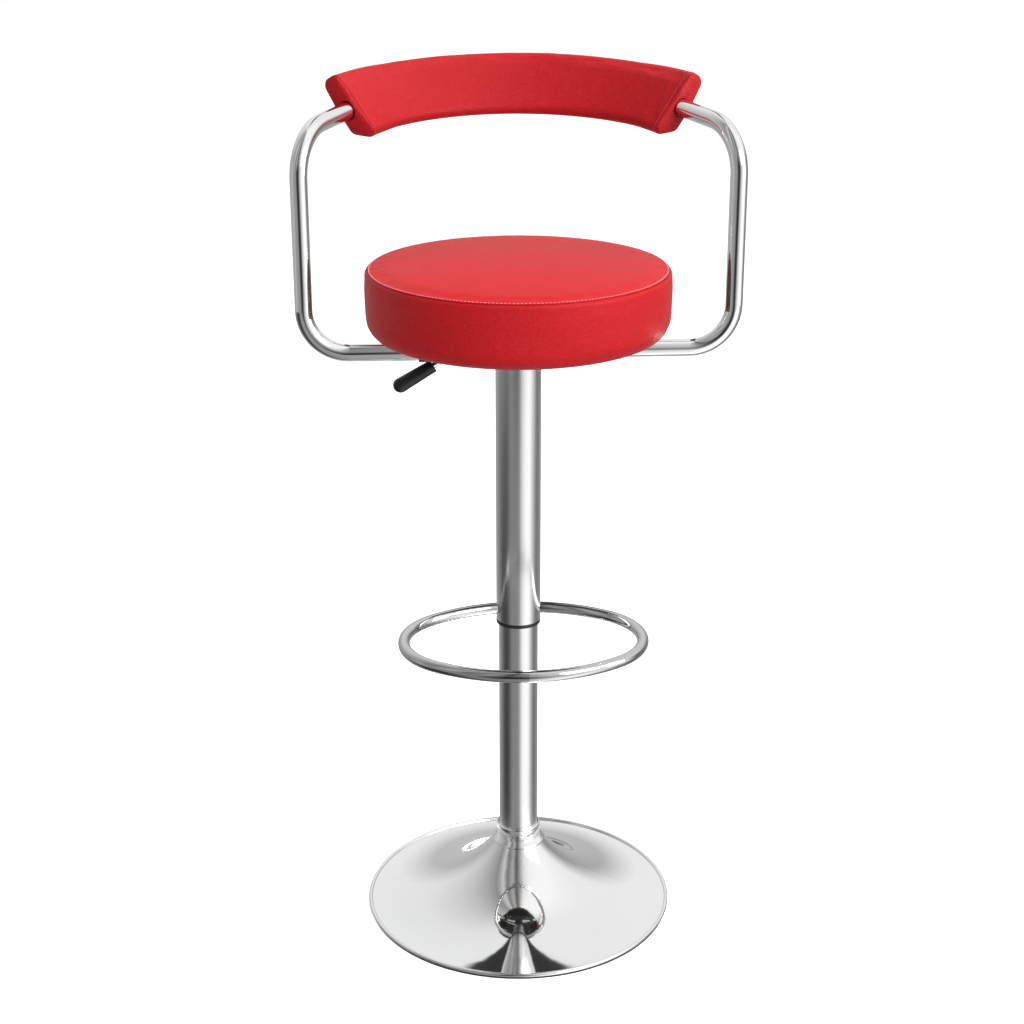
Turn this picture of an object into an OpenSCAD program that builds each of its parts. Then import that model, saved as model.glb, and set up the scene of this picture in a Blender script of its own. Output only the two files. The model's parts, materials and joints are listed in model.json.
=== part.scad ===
// Adjustable swivel bar stool with a gas lift, a foot ring and a wrap-around back pad.
// Origin on the floor at the swivel axis. +Z is up and -Y is the front of the seat.
// The stool is drawn fully raised, which is the rest position of the height slide.

/* [Heights] */
// Height of the seam round the top edge of the seat, stool fully raised
seat_height = 826; // [815:1:840]
// Vertical travel of the seat
seat_travel = 210; // [180:5:215]

/* [Base] */
// Diameter of the trumpet base
base_d = 385; // [380:1:400]
// Height of the neck of the trumpet base
base_h = 85; // [82:1:88]
// Radius of the concave sweep of the trumpet base
base_sweep_r = 202; // [200:1:210]
// Sheet thickness of the trumpet base
base_sheet = 1.5; // [1:0.1:1.8]

/* [Column] */
// Outer diameter of the fixed lower tube
column_d = 48; // [47:0.5:49]
// Height of the upper end of the fixed lower tube
column_top = 460; // [440:5:465]
// Outer diameter of the sleeve that rises with the seat
sleeve_d = 54; // [53:0.5:55]
// Height of the lower edge of the sleeve, ring included
sleeve_bottom = 386; // [380:1:395]
// Diameter of the gas cylinder
gas_d = 28; // [28:0.5:29]
// Diameter of the piston rod
rod_d = 10; // [9:0.5:10]

/* [Foot ring] */
// Width of the foot ring between tube centrelines
ring_w = 280; // [260:5:300]
// Reach of the foot ring in front of the swivel axis, to the tube centreline
ring_reach = 200; // [195:1:210]
// Radius of the side bends of the foot ring
ring_side_r = 80; // [74:1:85]
// Diameter of the foot ring tube
ring_tube_d = 14; // [12:0.5:16]

/* [Seat] */
// Radius of the upholstered seat
seat_r = 176; // [172:1:180]
// Height of the seat from its underside to the top seam
seat_thick = 77; // [74:1:80]
// Rise of the crown of the seat above the seam
seat_crown = 6; // [3:1:9]
// Radius of the rolled lower edge of the seat
seat_roll = 22; // [18:1:26]

/* [Arms and back] */
// Diameter of the arm tube
arm_d = 20; // [18:0.5:22]
// Half of the distance between the two upright stretches of the arm tube
arm_half_span = 244.5; // [240:0.5:254]
// Bend radius of the arm tube beside the seat
arm_low_bend = 50; // [45:1:55]
// Bend radius of the arm tube at the top of each upright
arm_top_bend = 55; // [50:1:60]
// Radius of the front face of the back pad at mid height
back_r = 210; // [205:1:214]
// Outward lean of the back pad
back_lean = 34; // [28:1:36]
// Height of the front face of the back pad
back_face_h = 56; // [52:1:60]
// Thickness of the back pad, measured level
back_thick = 30; // [29:1:32]
// Height of the middle of the back pad's front face
back_height = 1005.5; // [1000:0.5:1015]
// Distance from the swivel axis forward to the centre of the back pad's curve
back_centre = 57; // [55:0.5:60]

/* [Lever] */
// Diameter of the lever rod
lever_d = 7; // [6:0.5:7.5]
// Length of the lever grip
grip_len = 53; // [45:1:60]

/* [Hidden] */
$fn = 96;
tiny = 0.01;
fit = 0.05;

// Base
base_r = base_d / 2;
rim_bead_r = 2.5;
rubber_h = 2;
sweep_x = base_r + 0.5;
sweep_z = base_sweep_r + 4.5;
plate_z = 3;
plate_t = 2.5;
plate_r = base_r - 35;
neck_r = 33;

// Column
column_r = column_d / 2;
column_wall = 2;
column_foot_z = 20;
column_taper_h = 42;
column_foot_r = column_r - 0.8;
hub_r = column_r + 4;
collar_band_r = column_r + 3.3;
collar_flange_r = column_r + 9.5;
collar_h = 23.5;
bush_len = 80;

// Thrust bearing, between the floor of the column and the foot of the rod
race_bottom = column_foot_z + 4;
race_h = 4;
ball_r = 2.5;
ball_count = 9;
ball_pitch_r = 8.75;
race_r = 13;
ball_z = race_bottom + 2 * ball_r;
race_top = race_bottom + 4 * ball_r;

// Gas lift
gas_r = gas_d / 2;
gas_bore_r = 11.5;
gas_bottom = sleeve_bottom - 66;
gland_z = gas_bottom + 2;
gland_h = 23;
seal_h = 5;
piston_z = gland_z + gland_h + seal_h + 2;
piston_h = 14;
rod_r = rod_d / 2;
rod_neck_r = 4;
seat_under = seat_height - seat_thick;
seat_board_z = seat_under + 1;
lift_plate_t = 2.5;
lift_plate_z = seat_board_z - lift_plate_t;
lever_z = lift_plate_z - 9;
gas_top = lever_z - 7.5;
taper_z = gas_top - 29;
gas_top_r = gas_r - 1;
taper_hub_r = 23;
taper_hub_z = taper_z - 5;
pin_r = 4;
pin_gap = 0.65;

// Sleeve
sleeve_r = sleeve_d / 2;
sleeve_wall = 1.2;
sleeve_in_r = sleeve_r - sleeve_wall;
glide_flange_h = 4.5;
sleeve_top = taper_hub_z + 25;

// Foot ring, a four-arc oval
ring_z = sleeve_bottom + 18;
ring_turn = 36.3416;
ring_start = 31.4766;
ring_run_r = ring_side_r + (ring_w / 2 - ring_side_r) / sin(ring_turn);
ring_b = ring_run_r - (ring_run_r - ring_side_r) * cos(ring_turn);
ring_back_y = 2 * ring_b - ring_reach;
ring_wall = 1.5;

// Seat
skin = 1.2;
board_r = 150;
board_t = 12;
flap_in_r = 140;
seat_shoulder = 6;
screw_x = 75;
screw_y = 62;

// Arm tube. Each side is a chain of tangent straights and bends.
arc_half_angle = 61.1784;
arm_top_turn = 84.583;
exit_fall = 90 - arm_top_turn;
back_droop = asin(sin(exit_fall) / sin(arc_half_angle));
back_pivot_z = back_height - back_r * sin(back_droop);
arm_r = arm_d / 2;
arm_wall = 1.5;
arm_curve_r = back_r + back_thick / 2;
arm_under_z = lift_plate_z - arm_r;
arm_end_x = 30;
exit_y = -back_centre + arm_curve_r * cos(arc_half_angle) * cos(back_droop);
exit_z = back_pivot_z + arm_curve_r * cos(arc_half_angle) * sin(back_droop);
exit_roll = -87.006;
heading = atan2(cos(arc_half_angle), sin(arc_half_angle) * cos(back_droop));
side_run = (arm_half_span - arm_curve_r * sin(arc_half_angle)) / sin(heading);
straight_run = (side_run - arm_top_bend * (1 - sin(exit_fall))) / cos(exit_fall);
arm_y = exit_y - side_run * cos(heading);
upright_top = exit_z - straight_run * sin(exit_fall) - arm_top_bend * cos(exit_fall);
upright_bottom = arm_under_z + arm_low_bend;
under_roll = 61.053;
plug_gap = 0.25;
saddle_x = 105;
saddle_w = 22;
saddle_t = 2;

// Back pad section, in the plane of the tilted curve
lean_run = tan(back_lean) * back_face_h / 2;
pad_half_angle = 57.6122;
pad_round = 8;
pad_rise = 9;
grommet_gap = 0.4;

// Lever
lever_turn = 8;
lever_pivot_r = 19.5;
lever_pivot_d = 4;
lever_flat_end = 34;
lever_bend_r = 90;
lever_bend = 28.8216;
grip_start = 100;
grip_small_r = 7.5;
grip_big_r = 8.8;

// Plain ring with a square section
module ring(inner, outer, z, h) {
    translate([0, 0, z])
        difference() {
            cylinder(r = outer, h = h);
            translate([0, 0, -1]) cylinder(r = inner, h = h + 2);
        }
}

// Convex outline with rounded corners. The corners c run anticlockwise and are arc centres.
module rounded_outline(c, r) {
    polygon(c);
    for (i = [0 : len(c) - 1]) {
        a = c[i];
        b = c[(i + 1) % len(c)];
        along = (b - a) / norm(b - a);
        out = [along[1], -along[0]] * r;
        translate(a) circle(r = r);
        polygon([a, a + out, b + out, b]);
    }
}

// Section of a tube, or of a solid rod when the wall is as thick as the radius
module tube_section(r, wall) {
    difference() {
        circle(r = r, $fn = 48);
        if (wall < r) circle(r = r - wall, $fn = 48);
    }
}

// A tube or rod along a chain of steps, starting at the origin along +Z. Each step turns
// about the run by roll, runs straight by length, then bends towards its own +X.
// A step is [roll, length, bend radius, bend angle].
module bent_tube(steps, r, wall, i = 0) {
    if (i < len(steps)) {
        roll = steps[i][0];
        run = steps[i][1];
        bend_r = steps[i][2];
        bend = steps[i][3];
        rotate([0, 0, roll]) {
            if (run > 0) linear_extrude(height = run) tube_section(r, wall);
            translate([bend_r, 0, run]) {
                if (bend > 0)
                    rotate([90, 0, 180])
                        rotate_extrude(angle = bend) translate([bend_r, 0]) tube_section(r, wall);
                rotate([0, bend, 0]) translate([-bend_r, 0, 0]) bent_tube(steps, r, wall, i + 1);
            }
        }
    }
}

// Screw with a domed head at z = 0, pointing up
module screw(shank_r, shank_len, head_r, head_h) {
    cylinder(r = shank_r, h = shank_len, $fn = 32);
    translate([0, 0, -head_h]) cylinder(r1 = head_r * 0.7, r2 = head_r, h = head_h, $fn = 32);
}

// ---------- Base ----------

module floor_ring() {
    color("dimgray") ring(base_r - 9.5, base_r - 1.5, 0, rubber_h);
}

module bottom_plate() {
    color("gray") ring(hub_r - 8, plate_r, plate_z, plate_t);
}

module base_weight() {
    color("darkslategray") {
        ring(hub_r + 5, 110, plate_z + plate_t, 11.5);
        ring(hub_r + 5, 78, plate_z + plate_t, 27);
    }
}

module base_shell() {
    color("gainsboro")
        rotate_extrude($fn = 180) {
            intersection() {
                translate([sweep_x, sweep_z])
                    difference() {
                        circle(r = base_sweep_r + base_sheet, $fn = 360);
                        circle(r = base_sweep_r, $fn = 360);
                    }
                translate([neck_r - 4, 0]) square([base_r - rim_bead_r - neck_r + 4, base_h]);
            }
            translate([column_r + 0.2, base_h - base_sheet])
                square([neck_r - column_r - 0.7, base_sheet]);
            translate([base_r - rim_bead_r, rubber_h + rim_bead_r]) circle(r = rim_bead_r, $fn = 32);
        }
}

module base_hub() {
    color("gray")
        difference() {
            translate([0, 0, plate_z + plate_t]) cylinder(r = hub_r, h = base_h - 19);
            translate([0, 0, -1]) cylinder(r = column_foot_r - 1, h = column_foot_z + 2);
            translate([0, 0, column_foot_z])
                cylinder(r1 = column_foot_r, r2 = column_r, h = column_taper_h);
            translate([0, 0, column_foot_z + column_taper_h - tiny])
                cylinder(r = column_r, h = base_h);
        }
}

module base_collar() {
    step = 7;
    lip = 1.8;
    round_r = 1.6;
    inner = column_r + 0.05;
    color("gainsboro")
        translate([0, 0, base_h])
            rotate_extrude() {
                polygon([[inner, 0], [collar_flange_r - 0.8, 0], [collar_flange_r, lip / 2],
                    [collar_flange_r - 0.6, lip], [collar_band_r + 0.6, step], [inner, step]]);
                translate([inner, step - 1])
                    square([collar_band_r - inner, collar_h - step - round_r + 1]);
                translate([inner, collar_h - round_r - 1])
                    square([collar_band_r - inner - round_r, round_r + 1]);
                translate([collar_band_r - round_r, collar_h - round_r]) circle(r = round_r, $fn = 32);
            }
}

module lower_tube() {
    color("silver")
        difference() {
            union() {
                translate([0, 0, column_foot_z])
                    cylinder(r1 = column_foot_r, r2 = column_r, h = column_taper_h);
                translate([0, 0, column_foot_z + column_taper_h])
                    cylinder(r = column_r, h = column_top - column_foot_z - column_taper_h);
            }
            translate([0, 0, column_foot_z - 1])
                cylinder(r = column_r - column_wall - 0.8, h = column_top);
            translate([0, 0, column_top - bush_len])
                cylinder(r = column_r - column_wall, h = bush_len + 1);
        }
}

module column_floor() {
    color("gray") ring(rod_neck_r + 1, column_r - column_wall - 0.8, column_foot_z, 4);
}

module guide_bush() {
    color("ivory")
        difference() {
            union() {
                translate([0, 0, column_top - bush_len])
                    cylinder(r = column_r - column_wall, h = bush_len);
                translate([0, 0, column_top]) cylinder(r = column_r, h = 3);
            }
            translate([0, 0, column_top - bush_len - 1]) cylinder(r = gas_r + fit, h = bush_len + 5);
        }
}

// ---------- Thrust bearing ----------

module race(z, inner) {
    difference() {
        ring(inner, race_r, z, race_h);
        translate([0, 0, ball_z])
            rotate_extrude() translate([ball_pitch_r, 0]) circle(r = ball_r + fit, $fn = 48);
    }
}

module bearing_lower_race() {
    color("silver") race(race_bottom, rod_neck_r + 1);
}

module bearing_upper_race() {
    color("silver") race(race_top - race_h, rod_neck_r + 0.02);
}

module at_balls() {
    for (i = [0 : ball_count - 1])
        rotate([0, 0, i * 360 / ball_count]) translate([ball_pitch_r, 0, ball_z]) children();
}

module bearing_cage() {
    color("goldenrod")
        difference() {
            ring(rod_neck_r + 1.2, race_r - 0.5, ball_z - 0.7, 1.4);
            at_balls() translate([0, 0, -2]) cylinder(r = ball_r + 0.1, h = 4, $fn = 32);
        }
}

module bearing_balls() {
    color("white") at_balls() sphere(r = ball_r, $fn = 32);
}

// ---------- Rod, which turns with the seat and stays at one height ----------

module piston_rod() {
    color("silver") {
        translate([0, 0, column_foot_z - 8]) cylinder(r = rod_neck_r, h = race_top - column_foot_z + 9);
        translate([0, 0, race_top]) cylinder(r = rod_r, h = piston_z - race_top);
        translate([0, 0, piston_z - 1]) cylinder(r = rod_neck_r, h = piston_h + 1);
    }
}

module rod_washer() {
    color("gray") ring(rod_neck_r + 0.02, 9, column_foot_z - 2.3, 2);
}

module rod_clip() {
    color("dimgray")
        difference() {
            ring(rod_neck_r, 8, column_foot_z - 4, 1.5);
            translate([0, -1.5, 0]) cube([20, 3, 40]);
        }
}

module bump_stop() {
    color("dimgray") ring(rod_r + 0.02, 12, race_top, 18);
}

module piston() {
    color("gray")
        difference() {
            ring(rod_neck_r, gas_bore_r - fit, piston_z, piston_h);
            ring(gas_bore_r - 2, gas_bore_r + 1, piston_z + 5, 4);
        }
}

module piston_seal() {
    color("dimgray") ring(gas_bore_r - 2, gas_bore_r - 0.02, piston_z + 5, 4);
}

// ---------- Gas cylinder, which rises with the seat ----------

module gas_cylinder() {
    color("dimgray")
        difference() {
            union() {
                translate([0, 0, gas_bottom]) cylinder(r = gas_r, h = taper_z - gas_bottom);
                translate([0, 0, taper_z]) cylinder(r1 = gas_r, r2 = gas_top_r, h = gas_top - taper_z);
            }
            translate([0, 0, gland_z]) cylinder(r = gas_bore_r, h = gas_top);
            translate([0, 0, gas_bottom - 1]) cylinder(r = gas_bore_r - 3, h = 5);
        }
}

module rod_gland() {
    color("ivory") ring(rod_r + fit, gas_bore_r, gland_z, gland_h);
}

module rod_seal() {
    color("black") ring(rod_r + 0.02, gas_bore_r, gland_z + gland_h, seal_h);
}

module valve_body() {
    color("goldenrod") ring(pin_r + fit, gas_bore_r, gas_top - 42, 40);
}

module valve_pin() {
    color("white")
        translate([0, 0, gas_top - 26]) cylinder(r = pin_r, h = lever_z - lever_d / 2 - pin_gap - gas_top + 26);
}

// ---------- Sleeve and foot ring ----------

module sleeve() {
    color("silver")
        ring(sleeve_in_r, sleeve_r, sleeve_bottom + glide_flange_h,
            sleeve_top - sleeve_bottom - glide_flange_h);
}

module sleeve_disc() {
    color("gray") ring(gas_r + 0.1, sleeve_in_r, taper_hub_z - 3, 3);
}

module sleeve_cap() {
    color("black") {
        ring(taper_hub_r + 0.1, sleeve_in_r - 0.02, sleeve_top - 10, 10);
        ring(taper_hub_r + 0.1, sleeve_r, sleeve_top, 3);
    }
}

module sleeve_glide() {
    color("black") {
        ring(column_r + 0.08, sleeve_r, sleeve_bottom, glide_flange_h);
        ring(column_r + 0.08, sleeve_in_r, sleeve_bottom + glide_flange_h - tiny, 20);
    }
}

// A chain of bends round an oval, its two ends cut to the sleeve
module foot_ring() {
    color("silver")
        difference() {
            translate([0, ring_back_y - ring_run_r, ring_z])
                rotate([0, 0, ring_turn - ring_start])
                    translate([0, ring_run_r, 0])
                        rotate([90, 0, -90])
                            bent_tube([
                                [0, 0, ring_run_r, ring_start],
                                [0, 0, ring_side_r, 90 - ring_turn],
                                [0, 0, ring_side_r, 90 - ring_turn],
                                [0, 0, ring_run_r, ring_turn],
                                [0, 0, ring_run_r, ring_turn],
                                [0, 0, ring_side_r, 90 - ring_turn],
                                [0, 0, ring_side_r, 90 - ring_turn],
                                [0, 0, ring_run_r, ring_start]], ring_tube_d / 2, ring_wall);
            translate([0, 0, ring_z - 50]) cylinder(r = sleeve_r, h = 100);
        }
}

// ---------- Seat ----------

module at_plate_holes() {
    for (sx = [-1, 1])
        for (sy = [-1, 1])
            translate([sx * screw_x, sy * screw_y, 0]) children();
}

module seat_plate() {
    side_x = 2 * screw_x + 26;
    side_y = 2 * screw_y + 26;
    color("dimgray")
        difference() {
            translate([-side_x / 2, -side_y / 2, lift_plate_z]) cube([side_x, side_y, lift_plate_t]);
            at_plate_holes() translate([0, 0, lift_plate_z - 1]) cylinder(r = 3.25, h = 5, $fn = 32);
        }
}

module taper_hub() {
    slot_w = lever_d + 2;
    cavity_r = 16;
    color("dimgray")
        difference() {
            translate([0, 0, taper_hub_z]) cylinder(r = taper_hub_r, h = lift_plate_z - taper_hub_z);
            translate([0, 0, taper_hub_z - 1]) cylinder(r = gas_r, h = taper_z - taper_hub_z + 1);
            translate([0, 0, taper_z]) cylinder(r1 = gas_r, r2 = gas_top_r, h = gas_top - taper_z);
            translate([0, 0, gas_top - tiny]) cylinder(r = cavity_r, h = lift_plate_z - gas_top);
            rotate([0, 0, 180 + lever_turn])
                translate([0, -slot_w / 2, gas_top + 1])
                    cube([taper_hub_r + 1, slot_w, lift_plate_z - gas_top - 2]);
            at_lever_pivot() cylinder(r = lever_pivot_d / 2, h = 30, center = true, $fn = 32);
        }
}

module plate_screws() {
    color("silver")
        at_plate_holes() translate([0, 0, lift_plate_z]) screw(3, board_t + 2, 6, 3.5);
}

module tee_nuts() {
    color("silver")
        at_plate_holes() {
            ring(3, 4.2, seat_board_z + 2, board_t - 2);
            ring(3, 9.5, seat_board_z + board_t, 1.5);
        }
}

module seat_board() {
    color("burlywood")
        difference() {
            translate([0, 0, seat_board_z]) cylinder(r = board_r, h = board_t);
            at_plate_holes() {
                translate([0, 0, seat_board_z - 1]) cylinder(r = 3.2, h = board_t, $fn = 32);
                translate([0, 0, seat_board_z + 2]) cylinder(r = 4.2, h = board_t, $fn = 32);
            }
            at_saddle_screws() translate([0, 0, seat_board_z - 1]) cylinder(r = 2, h = 11, $fn = 24);
        }
}

module dust_cover() {
    side_x = 2 * screw_x + 28;
    side_y = 2 * screw_y + 28;
    color("black")
        difference() {
            translate([0, 0, seat_board_z - 0.6]) cylinder(r = flap_in_r - 0.5, h = 0.6);
            translate([-side_x / 2, -side_y / 2, seat_board_z - 2]) cube([side_x, side_y, 4]);
            at_saddles()
                translate([-saddle_w / 2 - 1, -arm_r - saddle_t - 17, -2])
                    cube([saddle_w + 2, 2 * (arm_r + saddle_t + 17), 4]);
        }
}

// Half section of the seat, shrunk all round by the inset
module seat_section(inset) {
    r = seat_r - inset;
    bottom = seat_under + inset;
    shoulder_z = seat_height - seat_shoulder;
    crown_r = (pow(seat_r, 2) + pow(seat_crown, 2)) / (2 * seat_crown);
    translate([0, seat_under + seat_roll]) square([r, shoulder_z - seat_under - seat_roll]);
    translate([0, bottom]) square([seat_r - seat_roll, seat_roll]);
    translate([seat_r - seat_roll, seat_under + seat_roll]) circle(r = seat_roll - inset);
    translate([seat_r - seat_shoulder, shoulder_z]) circle(r = seat_shoulder - inset, $fn = 64);
    translate([0, shoulder_z - 1]) square([seat_r - seat_shoulder, seat_shoulder - inset + 1]);
    intersection() {
        translate([0, seat_height + seat_crown - crown_r]) circle(r = crown_r - inset, $fn = 720);
        translate([0, shoulder_z]) square([seat_r - seat_shoulder, 40]);
    }
}

module seat_foam() {
    color("khaki")
        difference() {
            rotate_extrude() seat_section(skin);
            translate([0, 0, seat_under - 1]) cylinder(r = board_r, h = seat_board_z - seat_under + board_t + 1);
            at_plate_holes() translate([0, 0, seat_board_z]) cylinder(r = 10, h = board_t + 2.5, $fn = 32);
        }
}

module seat_cover() {
    color("firebrick")
        difference() {
            rotate_extrude() seat_section(0);
            rotate_extrude() seat_section(skin);
            translate([0, 0, seat_under - 1]) cylinder(r = flap_in_r, h = 5);
            translate([0, 0, seat_board_z]) cylinder(r = board_r, h = 5);
        }
}

// ---------- Arm tube ----------

// One side of the arm tube, from the middle of the back curve down to its end under the seat
module arm_side() {
    in_back_plane()
        translate([0, arm_curve_r, 0])
            rotate([90, 0, -90])
                bent_tube([
                    [0, 0, arm_curve_r, arc_half_angle],
                    [exit_roll, straight_run, arm_top_bend, arm_top_turn],
                    [under_roll, upright_top - upright_bottom, arm_low_bend, 90],
                    [0, arm_half_span - arm_low_bend - arm_end_x, 0, 0]], arm_r, arm_wall);
}

// Places children in the tilted plane of the back pad's curve
module in_back_plane() {
    translate([0, -back_centre, back_pivot_z]) rotate([back_droop, 0, 0]) children();
}

// Sweeps a section round the back, stopping short of the pad's ends by the trim
module back_sweep(trim) {
    half = pad_half_angle - trim;
    in_back_plane() rotate([0, 0, 90 - half]) rotate_extrude(angle = 2 * half) children();
}

module arm_tube() {
    color("gainsboro") {
        arm_side();
        mirror([1, 0, 0]) arm_side();
    }
}

module tube_plugs() {
    color("black")
        for (side = [-1, 1])
            translate([side * arm_end_x, arm_y, arm_under_z])
                rotate([0, -90 * side, 0]) {
                    cylinder(r = arm_r, h = 2, $fn = 48);
                    translate([0, 0, -12]) cylinder(r = arm_r - arm_wall - plug_gap, h = 12 + tiny, $fn = 48);
                }
}

module at_saddles() {
    for (side = [-1, 1]) translate([side * saddle_x, arm_y, seat_board_z]) children();
}

module at_saddle_screws() {
    for (side = [-1, 1])
        for (end = [-1, 1])
            translate([side * saddle_x, arm_y + end * (arm_r + saddle_t + 8), 0]) children();
}

module arm_saddles() {
    drop = seat_board_z - arm_under_z;
    out_r = arm_r + saddle_t;
    color("gray")
        difference() {
            at_saddles() {
                translate([-saddle_w / 2, 0, -drop])
                    rotate([0, 90, 0]) cylinder(r = out_r, h = saddle_w, $fn = 64);
                translate([-saddle_w / 2, -out_r, -drop]) cube([saddle_w, 2 * out_r, drop]);
                translate([-saddle_w / 2, -out_r - 15, -saddle_t])
                    cube([saddle_w, 2 * out_r + 30, saddle_t]);
            }
            at_saddles() {
                translate([-saddle_w, 0, -drop])
                    rotate([0, 90, 0]) cylinder(r = arm_r + plug_gap, h = 2 * saddle_w, $fn = 64);
                translate([-saddle_w, -arm_r - plug_gap, -drop])
                    cube([2 * saddle_w, 2 * (arm_r + plug_gap), drop + 1]);
            }
            at_saddle_screws() translate([0, 0, seat_board_z - 5]) cylinder(r = 2.2, h = 10, $fn = 24);
        }
}

module saddle_screws() {
    color("silver")
        at_saddle_screws() translate([0, 0, seat_board_z - saddle_t]) screw(2, 11, 4.5, 2.5);
}

// ---------- Back pad ----------

// Section of the back pad, shrunk all round by the inset
module pad_section(inset) {
    r = pad_round;
    low = -back_face_h / 2;
    high = back_face_h / 2;
    rounded_outline([
        [back_r - lean_run + r * 1.1, low + r],
        [back_r - lean_run + back_thick - r * 0.6, low + r],
        [back_r + lean_run + back_thick - r * 1.2, high - r * 0.3],
        [back_r + lean_run + back_thick - r * 1.9, high + pad_rise - r],
        [back_r + lean_run + r * 0.6, high - r]], r - inset);
}

module strip_section(inset) {
    for (side = [-1, 1])
        translate([arm_curve_r, 0])
            rotate(90 - back_lean)
                translate([side > 0 ? arm_r - 1 : -arm_r - 13, -1.5])
                    square([14, 3]);
}

module back_strips() {
    color("gray")
        difference() {
            back_sweep(3) strip_section(0);
            back_sweep(0) translate([arm_curve_r, 0]) circle(r = arm_r, $fn = 48);
        }
}

module back_foam() {
    color("khaki")
        difference() {
            back_sweep(0.5) pad_section(skin);
            back_sweep(-1) translate([arm_curve_r, 0]) circle(r = arm_r, $fn = 48);
            back_sweep(3) strip_section(0);
            at_pad_ends() cylinder(r = arm_r + 3, h = 9, center = true, $fn = 48);
        }
}

module back_cover() {
    color("firebrick")
        difference() {
            back_sweep(0) pad_section(0);
            back_sweep(0.5) pad_section(skin);
            at_pad_ends() cylinder(r = arm_r + 3, h = 9, center = true, $fn = 48);
        }
}

module at_pad_ends() {
    in_back_plane()
        for (side = [-1, 1])
            rotate([0, 0, 90 + side * pad_half_angle])
                translate([arm_curve_r, 0, 0])
                    rotate([90, 0, 0]) children();
}

module back_grommets() {
    color("black")
        at_pad_ends()
            difference() {
                cylinder(r = arm_r + 3, h = 4, center = true, $fn = 48);
                cylinder(r = arm_r + grommet_gap, h = 10, center = true, $fn = 48);
            }
}

// ---------- Lever ----------

module at_lever_pivot() {
    rotate([0, 0, 180 + lever_turn])
        translate([lever_pivot_r, 0, lever_z]) rotate([90, 0, 0]) children();
}

module lever_pivot() {
    color("silver") at_lever_pivot() cylinder(r = lever_pivot_d / 2, h = 20, center = true, $fn = 32);
}

// Places children at the start of the grip, with +Z running down the slope of the lever
module at_grip() {
    bend_end = lever_flat_end + lever_bend_r * sin(lever_bend);
    bend_drop = lever_bend_r * (1 - cos(lever_bend));
    rotate([0, 0, 180 + lever_turn])
        translate([grip_start, 0, lever_z - bend_drop - (grip_start - bend_end) * tan(lever_bend)])
            rotate([0, 90 + lever_bend, 0]) children();
}

module lever_rod() {
    bend_end = lever_flat_end + lever_bend_r * sin(lever_bend);
    slope_len = (grip_start - bend_end) / cos(lever_bend);
    inner_end = 3;
    color("silver")
        difference() {
            rotate([0, 0, 180 + lever_turn])
                translate([-inner_end, 0, lever_z])
                    rotate([0, 90, 0])
                        bent_tube([
                            [0, inner_end + lever_flat_end, lever_bend_r, lever_bend],
                            [0, slope_len + grip_len - 12, 0, 0]], lever_d / 2, lever_d / 2);
            at_lever_pivot() cylinder(r = lever_pivot_d / 2 + fit, h = 40, center = true, $fn = 32);
        }
}

module lever_grip() {
    dimple_r = 16;
    color("black")
        at_grip()
            difference() {
                union() {
                    cylinder(r1 = grip_small_r, r2 = grip_big_r, h = grip_len - grip_big_r, $fn = 64);
                    translate([0, 0, grip_len - grip_big_r]) sphere(r = grip_big_r, $fn = 64);
                }
                translate([0, 0, -1]) cylinder(r = lever_d / 2, h = grip_len - 11, $fn = 48);
                translate([-grip_big_r - dimple_r + 1.3, 0, grip_len - 15]) sphere(r = dimple_r, $fn = 64);
            }
}

floor_ring();
bottom_plate();
base_weight();
base_shell();
base_hub();
base_collar();
lower_tube();
column_floor();
guide_bush();
bearing_lower_race();
bearing_cage();
bearing_balls();
bearing_upper_race();
piston_rod();
rod_washer();
rod_clip();
bump_stop();
piston();
piston_seal();
gas_cylinder();
rod_gland();
rod_seal();
valve_body();
valve_pin();
sleeve();
sleeve_disc();
sleeve_cap();
sleeve_glide();
foot_ring();
seat_plate();
taper_hub();
plate_screws();
tee_nuts();
seat_board();
dust_cover();
seat_foam();
seat_cover();
arm_tube();
tube_plugs();
arm_saddles();
saddle_screws();
back_strips();
back_foam();
back_cover();
back_grommets();
lever_pivot();
lever_rod();
lever_grip();
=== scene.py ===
import json
import math
import bmesh
import bpy
from mathutils import Matrix, Vector, bvhtree, kdtree, noise


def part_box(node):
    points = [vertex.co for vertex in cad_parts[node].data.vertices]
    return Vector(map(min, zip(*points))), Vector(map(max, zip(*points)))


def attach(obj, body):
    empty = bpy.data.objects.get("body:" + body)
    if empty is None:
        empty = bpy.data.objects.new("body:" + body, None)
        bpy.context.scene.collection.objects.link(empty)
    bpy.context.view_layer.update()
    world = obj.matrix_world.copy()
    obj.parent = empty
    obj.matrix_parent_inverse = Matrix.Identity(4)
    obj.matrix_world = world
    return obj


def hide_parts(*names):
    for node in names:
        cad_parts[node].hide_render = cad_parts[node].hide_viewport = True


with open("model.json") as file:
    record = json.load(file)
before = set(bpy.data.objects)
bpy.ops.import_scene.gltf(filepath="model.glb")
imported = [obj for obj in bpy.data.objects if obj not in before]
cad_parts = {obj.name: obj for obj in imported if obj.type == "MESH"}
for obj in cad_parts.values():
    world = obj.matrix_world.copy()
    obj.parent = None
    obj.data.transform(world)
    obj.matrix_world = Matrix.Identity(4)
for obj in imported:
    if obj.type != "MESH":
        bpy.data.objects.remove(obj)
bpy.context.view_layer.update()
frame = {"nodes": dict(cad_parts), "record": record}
nodes = frame["nodes"]
scene = bpy.context.scene


# ---------------------------------------------------------------- camera
CAMERA_TURN = 3.5        # degrees round from the object's front, towards -X
CAMERA_AWAY = 2.1446     # from the object's axis, measured along the floor
CAMERA_HEIGHT = 1.3222
CAMERA_PITCH = 20.34     # degrees that it looks down
CAMERA_LENS = 67.09      # mm, on a 36 mm sensor
CAMERA_SHIFT = -0.0062


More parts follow.
